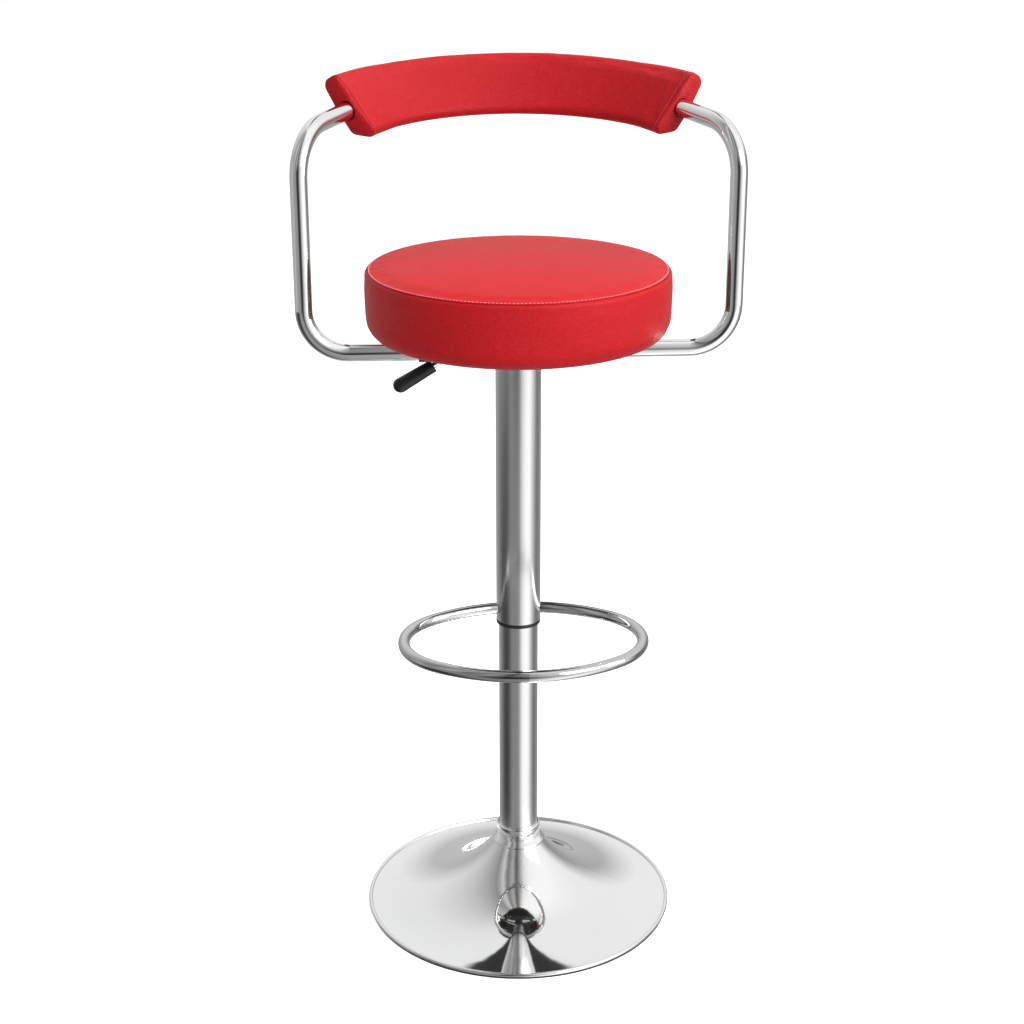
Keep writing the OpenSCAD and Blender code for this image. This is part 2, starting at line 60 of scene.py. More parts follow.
def make_camera():
    cam = bpy.data.cameras.new("camera")
    obj = bpy.data.objects.new("camera", cam)
    scene.collection.objects.link(obj)
    cam.lens = CAMERA_LENS
    cam.sensor_width = 36.0
    cam.shift_x = CAMERA_SHIFT
    cam.clip_start = 0.05
    cam.clip_end = 100
    turn = math.radians(CAMERA_TURN)
    obj.location = (-CAMERA_AWAY * math.sin(turn), -CAMERA_AWAY * math.cos(turn), CAMERA_HEIGHT)
    obj.rotation_euler = (math.pi / 2 - math.radians(CAMERA_PITCH), 0, -turn)
    scene.camera = obj


make_camera()


# ---------------------------------------------------------------- node helpers
class Nodes:
    """A few short cuts for building a node tree."""

    def __init__(self, tree):
        self.tree = tree
        tree.nodes.clear()

    def add(self, kind, inputs=None, **settings):
        n = self.tree.nodes.new(kind)
        for k, v in settings.items():
            setattr(n, k, v)
        for k, v in (inputs or {}).items():
            self.put(n, k, v)
        return n

    def put(self, n, key, value):
        if isinstance(value, bpy.types.NodeSocket):
            self.tree.links.new(value, n.inputs[key])
        else:
            n.inputs[key].default_value = value

    def math(self, op, a, b=None, c=None, clamp=False):
        n = self.add("ShaderNodeMath", operation=op, use_clamp=clamp)
        for i, v in enumerate((a, b, c)):
            if v is not None:
                self.put(n, i, v)
        return n.outputs[0]

    def ramp(self, fac, stops, mode="LINEAR"):
        n = self.add("ShaderNodeValToRGB")
        r = n.color_ramp
        r.interpolation = mode
        while len(r.elements) < len(stops):
            r.elements.new(0.5)
        for e, (p, c) in zip(r.elements, stops):
            e.position = p
            e.color = (c, c, c, 1) if isinstance(c, (int, float)) else tuple(c) + (1,)
        self.put(n, "Fac", fac)
        return n.outputs["Color"]

    def mix(self, fac, a, b):
        n = self.add("ShaderNodeMix", data_type="RGBA")
        self.put(n, 0, fac)
        self.put(n, 6, a)
        self.put(n, 7, b)
        return n.outputs[2]

    def noise(self, coords, scale, detail=3.0, rough=0.5):
        n = self.add("ShaderNodeTexNoise", {"Scale": scale, "Detail": detail, "Roughness": rough})
        self.put(n, "Vector", coords)
        return n.outputs["Fac"]

    def bump(self, height, strength, distance, normal=None):
        n = self.add("ShaderNodeBump", {"Strength": strength, "Distance": distance, "Height": height})
        if normal is not None:
            self.put(n, "Normal", normal)
        return n.outputs["Normal"]


def new_material(name):
    m = bpy.data.materials.new(name)
    m.use_nodes = True
    t = Nodes(m.node_tree)
    out = t.add("ShaderNodeOutputMaterial")
    bsdf = t.add("ShaderNodeBsdfPrincipled")
    t.tree.links.new(bsdf.outputs[0], out.inputs["Surface"])
    coords = t.add("ShaderNodeTexCoord").outputs["Object"]
    return m, t, bsdf, coords


def dark_light(color, low, high):
    """A darker and a lighter shade of one colour."""
    return [tuple(c * low for c in color), tuple(min(c * high, 1) for c in color)]


# ---------------------------------------------------------------- materials
def chrome(name, shade):
    """Polished chrome with faint smudges and a slight ripple; shade is how much it gives back, up to 1."""
    m, t, b, co = new_material(name)
    t.put(b, "Metallic", 1.0)
    smudge = t.noise(co, 9, 5, 0.6)
    haze = t.noise(co, 60, 3, 0.6)
    both = t.math("MULTIPLY", smudge, haze)
    hazy = (0.945 * shade, 0.95 * shade, 0.955 * shade)
    clear = (0.99 * shade,) * 3
    t.put(b, "Base Color", t.ramp(smudge, [(0.3, hazy), (0.75, clear)]))
    t.put(b, "Roughness", t.ramp(both, [(0.1, 0.035), (0.5, 0.075)]))
    t.put(b, "Normal", t.bump(t.noise(co, 28, 2, 0.5), 0.03, 0.001))
    return m


def satin_chrome():
    """Chrome with fine polishing lines that run up and down the column's tubes."""
    m, t, b, co = new_material("satin_chrome")
    t.put(b, "Metallic", 1.0)
    streak = t.add("ShaderNodeMapping", {"Vector": co, "Scale": (900, 900, 9)}).outputs[0]
    lines = t.noise(streak, 1, 4, 0.65)
    wide = t.add("ShaderNodeMapping", {"Vector": co, "Scale": (160, 160, 1.2)}).outputs[0]
    bands = t.noise(wide, 1, 3, 0.6)
    cloud = t.noise(co, 7, 4, 0.6)
    tone = t.math("MULTIPLY_ADD", lines, 0.35, t.math("MULTIPLY", bands, 0.65))
    t.put(b, "Base Color", t.ramp(tone, [(0.3, (0.70, 0.70, 0.705)), (0.7, (0.82, 0.82, 0.825))]))
    t.put(b, "Roughness", t.math("MULTIPLY_ADD", cloud, 0.10, t.math("MULTIPLY_ADD", lines, 0.08, 0.14)))
    t.put(b, "Normal", t.bump(lines, 0.06, 0.0004))
    return m


def leatherette(name, shade):
    """Red leatherette: grain cells with deeper red painted between them as shade in the grooves, fine pores
    and soft creases.
    """
    m, t, b, co = new_material(name)
    cells = t.add("ShaderNodeTexVoronoi", {"Scale": 620.0, "Randomness": 1.0}, feature="DISTANCE_TO_EDGE")
    warp = t.add("ShaderNodeTexNoise", {"Scale": 180.0, "Detail": 2.0, "Vector": co})
    moved = t.add("ShaderNodeVectorMath", operation="MULTIPLY_ADD")
    t.put(moved, 0, warp.outputs["Color"])
    moved.inputs[1].default_value = (0.004, 0.004, 0.004)
    t.put(moved, 2, co)
    t.put(cells, "Vector", moved.outputs[0])
    grain = t.ramp(cells.outputs["Distance"], [(0.0, 0.0), (0.16, 0.75), (0.5, 1.0)], "EASE")
    fine = t.noise(co, 1500, 3, 0.6)
    crease_map = t.add("ShaderNodeMapping", {"Vector": co, "Scale": (55, 55, 110)}).outputs[0]
    crease = t.ramp(t.noise(crease_map, 1, 6, 0.62), [(0.36, 0.0), (0.5, 1.0), (0.64, 0.35)])
    patch = t.noise(co, 6, 3, 0.55)
    tone = t.mix(patch, (0.60 * shade, 0.0030, 0.0080, 1), (0.68 * shade, 0.0042, 0.0105, 1))
    # painted shade: the grooves between the grain cells are darkened towards deep red
    grain_groove_shade = t.mix(t.math("MULTIPLY", t.math("SUBTRACT", 1.0, grain), 0.45), tone, (0.30, 0.0015, 0.0035, 1))
    t.put(b, "Base Color", grain_groove_shade)
    rough = t.math("MULTIPLY_ADD", grain, -0.06, 0.36)
    rough = t.math("MULTIPLY_ADD", fine, 0.08, rough)
    t.put(b, "Roughness", t.math("MULTIPLY_ADD", patch, 0.10, rough))
    b.inputs["Specular IOR Level"].default_value = 0.26
    creased = t.bump(crease, 0.24, 0.0008)
    grained = t.bump(grain, 0.7, 0.0004, creased)
    t.put(b, "Normal", t.bump(fine, 0.12, 0.00008, grained))
    return m


def thread(name, color):
    """Twisted sewing thread."""
    m, t, b, co = new_material(name)
    twist = t.add("ShaderNodeTexWave", {"Scale": 900.0, "Distortion": 1.5, "Vector": co})
    lo, hi = dark_light(color, 0.75, 1.15)
    # painted shade and highlight: the twist's grooves are darker and its ridges lighter, following the bump's
    # wave
    t.put(b, "Base Color", t.ramp(twist.outputs["Fac"], [(0.2, lo), (0.8, hi)]))
    t.put(b, "Roughness", t.ramp(twist.outputs["Fac"], [(0.0, 0.5), (1.0, 0.65)]))
    t.put(b, "Normal", t.bump(twist.outputs["Fac"], 0.3, 0.0001))
    return m


def plastic(name, color, rough, grain_scale=900.0, depth=0.00006):
    """Moulded plastic, rubber or foam, by its grain's scale and depth."""
    m, t, b, co = new_material(name)
    patch = t.noise(co, 14, 4, 0.6)
    grain = t.noise(co, grain_scale, 3, 0.6)
    lo, hi = dark_light(color, 0.8, 1.25)
    t.put(b, "Base Color", t.ramp(patch, [(0.3, lo), (0.7, hi)]))
    grained = t.math("MULTIPLY_ADD", grain, 0.1, rough - 0.1)
    t.put(b, "Roughness", t.math("MULTIPLY_ADD", patch, 0.12, grained))
    t.put(b, "Normal", t.bump(grain, 0.35, depth))
    return m


def metal(name, color, rough, metallic=1.0, cast=False):
    """Plain, painted or cast metal."""
    m, t, b, co = new_material(name)
    t.put(b, "Metallic", metallic)
    patch = t.noise(co, 18, 5, 0.65)
    grain = t.noise(co, 500 if cast else 220, 4, 0.6)
    lo, hi = dark_light(color, 0.7, 1.2)
    t.put(b, "Base Color", t.ramp(patch, [(0.25, lo), (0.75, hi)]))
    t.put(b, "Roughness", t.math("MULTIPLY_ADD", patch, 0.18, rough - 0.08))
    t.put(b, "Normal", t.bump(grain, 0.5 if cast else 0.12, 0.0004 if cast else 0.00008))
    return m


def plywood():
    """Wood grain along X with the plies as darker layers in Z."""
    m, t, b, co = new_material("plywood")
    fibre = t.add("ShaderNodeMapping", {"Vector": co, "Scale": (8, 260, 260)}).outputs[0]
    grain = t.noise(fibre, 1, 6, 0.6)
    plies = t.add("ShaderNodeTexWave", {"Scale": 150.0, "Distortion": 0.6, "Vector": co}, bands_direction="Z")
    tone = t.ramp(grain, [(0.3, (0.45, 0.28, 0.14)), (0.7, (0.68, 0.48, 0.28))])
    t.put(b, "Base Color", t.mix(t.math("MULTIPLY", plies.outputs["Fac"], 0.35), tone, (0.3, 0.18, 0.09, 1)))
    t.put(b, "Roughness", t.ramp(grain, [(0.2, 0.6), (0.8, 0.75)]))
    t.put(b, "Normal", t.bump(grain, 0.2, 0.0002))
    return m


def dust_cloth():
    """The thin black non-woven cloth under the seat."""
    m, t, b, co = new_material("dust_cloth")
    weave = t.add("ShaderNodeTexVoronoi", {"Scale": 900.0, "Vector": co})
    fibre = weave.outputs["Distance"]
    t.put(b, "Base Color", t.ramp(fibre, [(0.0, 0.03), (0.6, 0.012)]))
    t.put(b, "Roughness", t.ramp(fibre, [(0.0, 0.8), (0.6, 0.95)]))
    t.put(b, "Normal", t.bump(fibre, 0.4, 0.0002))
    return m


# one leatherette in two tones: the seat's copy is painted lighter and the back pad's darker, as painted light
# and painted shade
SEAT_LEATHER_PAINTED_LIGHT = leatherette("seat_leatherette_painted_light", 1.06)
BACK_LEATHER_PAINTED_SHADE = leatherette("back_leatherette_painted_shade", 0.86)
# the seat's thread is painted pale pink, far lighter than the back pad's thread: a painted highlight on the
# stitches
SEAT_THREAD_PAINTED_HIGHLIGHT = thread("seat_thread", (0.88, 0.34, 0.37))
BACK_THREAD = thread("back_thread", (0.55, 0.06, 0.08))
# a darker copy of the chrome for the foot ring: painted shade standing in for its darker reflections
SHADED_RING_CHROME = chrome("ring_chrome_painted_shade", 0.64)
# the finish of each material slot of the record
MATERIALS = {
    "chrome": chrome("mirror_chrome", 0.95),
    "satin_chrome": satin_chrome(),
    "plain_steel": metal("plain_steel", (0.42, 0.43, 0.44), 0.38),
    "black_steel": metal("black_paint", (0.022, 0.022, 0.024), 0.45, 0.0),
    "iron": metal("cast_iron", (0.10, 0.10, 0.105), 0.75, 0.6, True),
    "black_plastic": plastic("black_plastic", (0.012, 0.012, 0.013), 0.42),
    "white_plastic": plastic("white_plastic", (0.72, 0.71, 0.66), 0.45),
    "rubber": plastic("black_rubber", (0.014, 0.014, 0.014), 0.75, 500.0, 0.0001),
    "plywood": plywood(),
    "foam": plastic("cream_foam", (0.80, 0.74, 0.56), 0.95, 350.0, 0.0005),
    "leatherette": SEAT_LEATHER_PAINTED_LIGHT,
    "black_cloth": dust_cloth(),
}

record = frame["record"]
slot_of = {s["node"]: s["material_slot"] for s in record["subparts"]}
for name, obj in nodes.items():
    obj.data.materials.clear()
    # the foot ring gets the darker chrome with painted shade
    obj.data.materials.append(SHADED_RING_CHROME if name == "foot_ring" else MATERIALS[slot_of[name]])


# ---------------------------------------------------------------- mesh helpers
def mesh_object(name, verts, faces, material):
    me = bpy.data.meshes.new(name)
    me.from_pydata(verts, [], faces)
    me.validate()
    me.update()
    me.polygons.foreach_set("use_smooth", [True] * len(me.polygons))
    ob = bpy.data.objects.new(name, me)
    scene.collection.objects.link(ob)
    me.materials.append(material)
    return ob


def grid_faces(rows, cols, start=0):
    """Quads between the rings of a tube: a row is a closed ring of cols points, the first at start."""
    out = []
    for i in range(rows - 1):
        here = start + i * cols
        above = here + cols
        for j in range(cols):
            k = (j + 1) % cols
            out.append((here + j, here + k, above + k, above + j))
    return out


def wobble(p, scale, seed):
    """A smooth random value from -1 to 1 at a point, the same on every run."""
    return noise.noise(Vector((p[0] * scale + seed, p[1] * scale - seed, p[2] * scale + 2 * seed)))


def on_circle(r, j, count):
    """Point j of a circle of count even points."""
    return r * math.cos(2 * math.pi * j / count), r * math.sin(2 * math.pi * j / count)


def lathe(name, profile, columns, material):
    """A closed turned form from a profile of (radius, height) pairs; the first and last lie on the axis."""
    verts = [(0, 0, profile[0][1])]
    for r, z in profile[1:-1]:
        verts += [(*on_circle(r, j, columns), z) for j in range(columns)]
    verts.append((0, 0, profile[-1][1]))
    rows = len(profile) - 2
    faces = grid_faces(rows, columns, start=1)
    faces += [(0, 1 + (j + 1) % columns, 1 + j) for j in range(columns)]
    last = 1 + (rows - 1) * columns
    faces += [(len(verts) - 1, last + j, last + (j + 1) % columns) for j in range(columns)]
    return mesh_object(name, verts, faces, material)


CLOTH_FRAMES = 20
CLOTH_RIPPLE = 0.0005     # uneven start of the cloth, so that it doesn't swell quite evenly


def settle(ob, voxel, pinned, pressure, swell, cap, seed):
    """Blows a remeshed copy of a pad up as cloth, and moves the pad's points with it, at most by cap."""
    copy = ob.copy()
    copy.data = ob.data.copy()
    copy.name = ob.name + "_cloth"
    scene.collection.objects.link(copy)
    mod = copy.modifiers.new("remesh", "REMESH")
    mod.mode = "VOXEL"
    mod.voxel_size = voxel
    bpy.context.view_layer.update()
    deps = bpy.context.evaluated_depsgraph_get()
    mesh = bpy.data.meshes.new_from_object(copy.evaluated_get(deps))
    copy.modifiers.clear()
    copy.data = mesh
    for v in mesh.vertices:
        v.co += v.normal * CLOTH_RIPPLE * wobble(v.co, 70, seed)
    start = [v.co.copy() for v in mesh.vertices]
    group = copy.vertex_groups.new(name="pin")
    group.add([v.index for v in mesh.vertices if pinned(v.co)], 1.0, "REPLACE")
    cloth = copy.modifiers.new("cloth", "CLOTH")
    s = cloth.settings
    s.quality = 6
    s.mass = 0.35
    s.tension_stiffness = s.compression_stiffness = 25
    s.shear_stiffness = 12
    s.bending_stiffness = 1.2
    s.tension_damping = s.compression_damping = s.shear_damping = 12
    s.vertex_group_mass = "pin"
    s.pin_stiffness = 1.0
    s.shrink_min = -swell
    s.use_pressure = True
    s.uniform_pressure_force = pressure
    s.effector_weights.gravity = 0.0
    cloth.collision_settings.use_collision = False
    cloth.collision_settings.use_self_collision = False
    cloth.point_cache.frame_start = 1
    cloth.point_cache.frame_end = CLOTH_FRAMES
    for f in range(1, CLOTH_FRAMES + 1):
        scene.frame_set(f)
    deps = bpy.context.evaluated_depsgraph_get()
    done = copy.evaluated_get(deps).to_mesh()
    tree = kdtree.KDTree(len(start))
    moves = []
    for i, p in enumerate(start):
        tree.insert(p, i)
        moves.append(done.vertices[i].co - p)
    tree.balance()
    reach = 2.6 * voxel
    for v in ob.data.vertices:
        total = Vector()
        weight = 0.0
        for co, i, dist in tree.find_n(v.co, 9):
            w = max(0.0, 1 - dist / reach) ** 2 + 1e-6
            total += moves[i] * w
            weight += w
        move = total / weight
        if move.length > cap:
            move *= cap / move.length
        v.co += move
    ob.data.update()
    bpy.data.objects.remove(copy)
    scene.frame_set(1)


def subdivide(ob):
    mod = ob.modifiers.new("subdivide", "SUBSURF")
    mod.levels = mod.render_levels = 1
    bpy.context.view_layer.objects.active = ob
    with bpy.context.temp_override(object=ob, active_object=ob, selected_objects=[ob]):
        bpy.ops.object.modifier_apply(modifier=mod.name)
    ob.data.polygons.foreach_set("use_smooth", [True] * len(ob.data.polygons))


def nearest_tree(ob):
    return bvhtree.BVHTree.FromPolygons([v.co for v in ob.data.vertices],
                                        [tuple(p.vertices) for p in ob.data.polygons])


STITCH_SINK = 0.35        # how far a stitch's ends sink into the surface, as a part of its radius


def stitches(name, path, pitch, length, radius, surface, material):
    """Short thread lengths laid along a path of points, resting on the surface; each is a bowed capsule."""
    tree = nearest_tree(surface)
    pts = [Vector(p) for p in path]
    pts.append(pts[0])
    run = [0.0]
    for a, b in zip(pts, pts[1:]):
        run.append(run[-1] + (b - a).length)
    count = max(2, round(run[-1] / pitch))
    verts = []
    faces = []
    rings = 7
    around = 6
    k = 0

    def at(s):
        nonlocal k
        while k < len(run) - 2 and run[k + 1] < s:
            k += 1
        f = (s - run[k]) / max(run[k + 1] - run[k], 1e-9)
        return pts[k].lerp(pts[k + 1], f)

    for n in range(count):
        mid = (n + 0.5) * run[-1] / count
        a, b = at(mid - length / 2), at(mid + length / 2)
        along = (b - a).normalized()
        hit, normal, _, _ = tree.find_nearest((a + b) / 2)
        side = along.cross(normal).normalized()
        up = side.cross(along).normalized()
        base = len(verts)
        for i in range(rings):
            t = i / (rings - 1) * 2 - 1
            width = radius * math.sqrt(max(0.0, 1 - t ** 4)) + 1e-6
            lift = radius * (1 - STITCH_SINK) * (1 - t * t) - radius * STITCH_SINK
            centre = hit + along * (t * length / 2) + up * lift
            for j in range(around):
                w = 2 * math.pi * j / around
                verts.append(centre + (side * math.cos(w) + up * math.sin(w)) * width)
        for i in range(rings - 1):
            for j in range(around):
                j2 = (j + 1) % around
                faces.append((base + i * around + j, base + i * around + j2,
                              base + (i + 1) * around + j2, base + (i + 1) * around + j))
        faces.append(tuple(base + j for j in range(around))[::-1])
        faces.append(tuple(base + (rings - 1) * around + j for j in range(around)))
    return mesh_object(name, [tuple(v) for v in verts], faces, material)


def arc(cx, cz, r, a0, a1, n):
    """Points along an arc, from one angle to another in degrees, in n steps."""
    return [(cx + r * math.cos(math.radians(a0 + (a1 - a0) * i / n)),
             cz + r * math.sin(math.radians(a0 + (a1 - a0) * i / n))) for i in range(n + 1)]


def line(p, q, n):
    """Points along a straight line in n steps, without its first point."""
    return [(p[0] + (q[0] - p[0]) * i / n, p[1] + (q[1] - p[1]) * i / n) for i in range(1, n + 1)]


# ---------------------------------------------------------------- seat
low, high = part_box("seat_cover")
board_low, board_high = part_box("seat_board")
SEAT_R = (high[0] - low[0]) / 2
UNDER = low[2]
TOP = high[2]
ROLL = 0.021         # radius of the soft lower edge
EDGE = 0.0062        # radius of the tight upper edge
CROWN = 0.006        # rise of the top from that edge to the middle
FLAP = 0.009         # how far the cover is turned in over the board's underside
COLUMNS = 288
edge_z = TOP - CROWN - EDGE
flap_r = (board_high[0] - board_low[0]) / 2 - FLAP
inside_z = (board_low[2] + board_high[2]) / 2
SEAM_ANGLE = 58      # where the seam lies on the upper edge, in degrees up from the side
SEAM_R = SEAT_R - EDGE + EDGE * math.cos(math.radians(SEAM_ANGLE))
SEAM_Z = edge_z + EDGE * math.sin(math.radians(SEAM_ANGLE))
# the seam's section: distance past the seam's middle, and depth under the surface
SEAM_GROOVE = ((-0.0011, 0.0), (-0.0007, 0.0002), (-0.00046, 0.0012), (-0.00022, 0.0022), (0.0001, 0.0023),
               (0.00038, 0.0013), (0.0006, 0.0001), (0.0009, -0.00025), (0.0014, -0.0003))


def seat_profile():
    """Half of the seat's section, from the axis inside the board, round the outside, to the top."""
    p = [(0, inside_z), (0.03, inside_z), (0.08, inside_z), (flap_r - 0.004, inside_z)]
    p += [(flap_r - 0.0005, inside_z), (flap_r, board_low[2] + 0.0005)]
    p += [(flap_r + 0.0002, UNDER + 0.0003), (flap_r + 0.001, UNDER)]
    p += line(p[-1], (SEAT_R - ROLL - 0.001, UNDER), 4)
    p += arc(SEAT_R - ROLL - 0.0008, UNDER + ROLL, ROLL, -88, 0, 15)
    p += line(p[-1], (SEAT_R, edge_z), 18)
    rise = arc(SEAT_R - EDGE, edge_z, EDGE, 0, SEAM_ANGLE, 7)[1:]
    p += rise[:-1]
    out = Vector((math.cos(math.radians(SEAM_ANGLE)), math.sin(math.radians(SEAM_ANGLE))))
    tang = Vector((-out.y, out.x))
    seam = Vector((SEAM_R, SEAM_Z))
    for along, depth in SEAM_GROOVE:
        q = seam + tang * along - out * depth
        p.append((q.x, q.y))
    p += arc(SEAT_R - EDGE, edge_z, EDGE, SEAM_ANGLE + 16, 88, 4)
    r0, z0 = p[-1]
    steps = 44
    for i in range(1, steps):
        r = r0 * (1 - i / steps)
        z = z0 + (TOP - z0) * (1 - (r / r0) ** 2.4)
        p.append((r, z))
    p.append((0, TOP))
    return p


seat = lathe("seat_cushion", seat_profile(), COLUMNS, SEAT_LEATHER_PAINTED_LIGHT)


def seat_pinned(co):
    """True where the cover is fixed to the board, and along the seam."""
    r = math.hypot(co.x, co.y)
    return co.z < board_low[2] + 0.004 or (abs(r - SEAM_R) < 0.0045 and co.z > edge_z - 0.001)


settle(seat, 0.006, seat_pinned, 3.0, 0.006, 0.0020, 11)
seat.visible_glossy = False
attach(seat, "carriage")
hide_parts("seat_cover", "seat_foam")

stitch_row = [(*on_circle(SEAM_R - 0.0019, j, 360), SEAM_Z + 0.0012) for j in range(360)]
seat_thread = stitches("seat_stitches", stitch_row, 0.0044, 0.0024, 0.00066, seat, SEAT_THREAD_PAINTED_HIGHLIGHT)
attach(seat_thread, "carriage")

# ---------------------------------------------------------------- back pad
# the pad bends round an upright axis that is tipped by the droop; these are the CAD pad's own sizes
PAD_R = 0.210          # from the axis to the middle of the inner face
ARM_ARC = 0.225        # from the axis to the tube inside the pad
PAD_HALF = 57.6122     # degrees from the pad's middle to its end
PAD_LEAN = 34          # degrees that the inner face leans back
PAD_RISE = 0.028       # half of the inner face's height
PAD_THICK = 0.030
PAD_TOP = 0.037        # height of the rear edge over the pad's middle
PAD_ROUND = 0.008      # radius of the section's corners
PAD_CENTRE_Y = -0.057
PAD_HEIGHT = 1.0055
LEAN = math.tan(math.radians(PAD_LEAN)) * PAD_RISE
DROOP = math.radians(6.186)
pad_place = (Matrix.Translation((0, PAD_CENTRE_Y, PAD_HEIGHT - PAD_R * math.sin(DROOP)))
             @ Matrix.Rotation(DROOP, 4, "X"))
SECTION_STEP = 0.0022  # spacing of the section's points
MM_TURN = math.degrees(0.001 / PAD_R)    # the turn that is a millimetre along the inner face

# the pad's end, ring by ring from inside the tunnel: how far in from the section towards the tunnel's
# mouth (1 is the mouth), how many mm past the end, and the scale about the tube
PAD_CAP = ((1.0, -9.0, 0.97), (1.0, -5.0, 0.97), (1.0, 0.6, 0.98), (0.99, 2.0, 1.0),
           (0.965, 2.9, 1.0), (0.92, 3.3, 1.0), (0.84, 3.4, 1.0), (0.72, 3.3, 1.0),
           (0.58, 3.0, 1.0), (0.44, 2.5, 1.0), (0.30, 1.9, 1.0), (0.19, 1.2, 1.0),
           (0.11, 0.6, 1.0), (0.065, 0.1, 1.0), (0.045, -0.35, 1.0), (0.040, -0.9, 1.0),
           (0.038, -1.3, 1.0), (0.030, -1.55, 1.0), (0.015, -1.6, 1.0), (0.0, -1.9, 1.0))
# the seam behind it: mm along the pad, and depth in mm
PAD_GROOVE = ((-0.6, 0.2), (-0.8, 1.0), (-1.05, 1.5), (-1.3, 1.0), (-1.55, 0.2), (-2.0, 0.0))
TUNNEL_R = 0.0106      # radius of the tunnel's mouth
PAD_ROWS = 118         # steps along the pad between its two seams
TUNNEL_ROWS = 60


def rounded(points, radius, step):
    """The outline round circles on a convex polygon's corners, anticlockwise, in even steps."""
    out = []
    n = len(points)
    for i in range(n):
        before, corner, after = (Vector(points[(i + d) % n]) for d in (-1, 0, 1))
        d1 = (corner - before).normalized()
        d2 = (after - corner).normalized()
        a1 = math.atan2(-d1.x, d1.y)
        a2 = math.atan2(-d2.x, d2.y)
        while a2 < a1:
            a2 += 2 * math.pi
        k = max(2, round(radius * (a2 - a1) / step))
        for j in range(k + 1):
            w = a1 + (a2 - a1) * j / k
            out.append(corner + Vector((math.cos(w), math.sin(w))) * radius)
    dense = []
    for a, b in zip(out, out[1:] + out[:1]):
        k = max(1, round((b - a).length / step))
        dense += [a.lerp(b, j / k) for j in range(k)]
    return dense


SECTION = rounded([
    (PAD_R - LEAN + 1.1 * PAD_ROUND, -PAD_RISE + PAD_ROUND),
    (PAD_R - LEAN + PAD_THICK - 0.6 * PAD_ROUND, -PAD_RISE + PAD_ROUND),
    (PAD_R + LEAN + PAD_THICK - 1.2 * PAD_ROUND, PAD_RISE - 0.3 * PAD_ROUND),
    (PAD_R + LEAN + PAD_THICK - 1.9 * PAD_ROUND, PAD_TOP - PAD_ROUND),
    (PAD_R + LEAN + 0.6 * PAD_ROUND, PAD_RISE - PAD_ROUND)], PAD_ROUND, SECTION_STEP)


def pad_point(rho, z, angle):
    """A point of the pad at an angle from its middle, positive towards the object's right."""
    w = math.radians(90 - angle)
    return tuple(pad_place @ Vector((rho * math.cos(w), rho * math.sin(w), z)))


def pad_rows():
    """The rings of the pad from inside the tunnel, over one cap, along it, and in at the other."""
    n = len(SECTION)
    hub = Vector((ARM_ARC, 0.0))
    start = math.atan2(SECTION[0].y, SECTION[0].x - ARM_ARC)
    hole = []
    for i in range(n):
        w = start + 2 * math.pi * i / n
        hole.append(hub + Vector((math.cos(w), math.sin(w))) * TUNNEL_R)
    cap = []
    for inward, out_mm, pull in PAD_CAP:
        ring = []
        for i in range(n):
            q = SECTION[i].lerp(hole[i], inward)
            ring.append(hub + (q - hub) * pull)
        cap.append((ring, PAD_HALF + out_mm * MM_TURN))
    for out_mm, depth in PAD_GROOVE:
        ring = [hub + (p - hub) * (1 - depth * 0.001 / max((p - hub).length, 0.001)) for p in SECTION]
        cap.append((ring, PAD_HALF + (out_mm + PAD_CAP[-1][1]) * MM_TURN))
    body = []
    edge = PAD_HALF - 6.0 * MM_TURN
    for k in range(PAD_ROWS + 1):
        t = -edge + 2 * edge * k / PAD_ROWS
        body.append((SECTION, -t))
    mirrored = [(ring, -a) for ring, a in reversed(cap)]
    return cap + body + mirrored


def back_pad():
    """The closed pad with a tunnel through it for the tube."""
    rows = pad_rows()
    n = len(SECTION)
    verts = [pad_point(p.x, p.y, a) for ring, a in rows for p in ring]
    faces = grid_faces(len(rows), n)
    mouth, first = rows[0]
    last = rows[-1][1]
    start = len(verts)
    for k in range(1, TUNNEL_ROWS):
        a = first + (last - first) * k / TUNNEL_ROWS
        verts += [pad_point(p.x, p.y, a) for p in mouth]
    faces += grid_faces(TUNNEL_ROWS - 1, n, start=start)
    end = (len(rows) - 1) * n
    tail = start + (TUNNEL_ROWS - 2) * n
    for j in range(n):
        j2 = (j + 1) % n
        faces.append((j, j2, start + j2, start + j))
        faces.append((end + j, tail + j, tail + j2, end + j2))
    ob = mesh_object("back_cushion", verts, faces, BACK_LEATHER_PAINTED_SHADE)
    bm = bmesh.new()
    bm.from_mesh(ob.data)
    bmesh.ops.recalc_face_normals(bm, faces=bm.faces)
    bm.to_mesh(ob.data)
    bm.free()
    return ob


def pad_pinned(co):
    """True near the end seams and round the tunnel."""
    p = pad_place.inverted() @ co
    angle = 90 - math.degrees(math.atan2(p.y, p.x))
    from_tube = math.hypot(math.hypot(p.x, p.y) - ARM_ARC, p.z)
    return abs(abs(angle) - PAD_HALF) < 1.2 or from_tube < 0.013


back = back_pad()
settle(back, 0.005, pad_pinned, 3.5, 0.0, 0.0016, 23)
subdivide(back)
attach(back, "carriage")
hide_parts("back_cover", "back_foam")

for side, word in ((-1, "left"), (1, "right")):
    seam = side * (PAD_HALF - math.degrees(0.0049 / PAD_R))
    row = [pad_point(p.x, p.y, seam) for p in SECTION]
    thread_row = stitches("back_stitches_" + word, row, 0.0036, 0.0026, 0.00045, back, BACK_THREAD)
    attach(thread_row, "carriage")

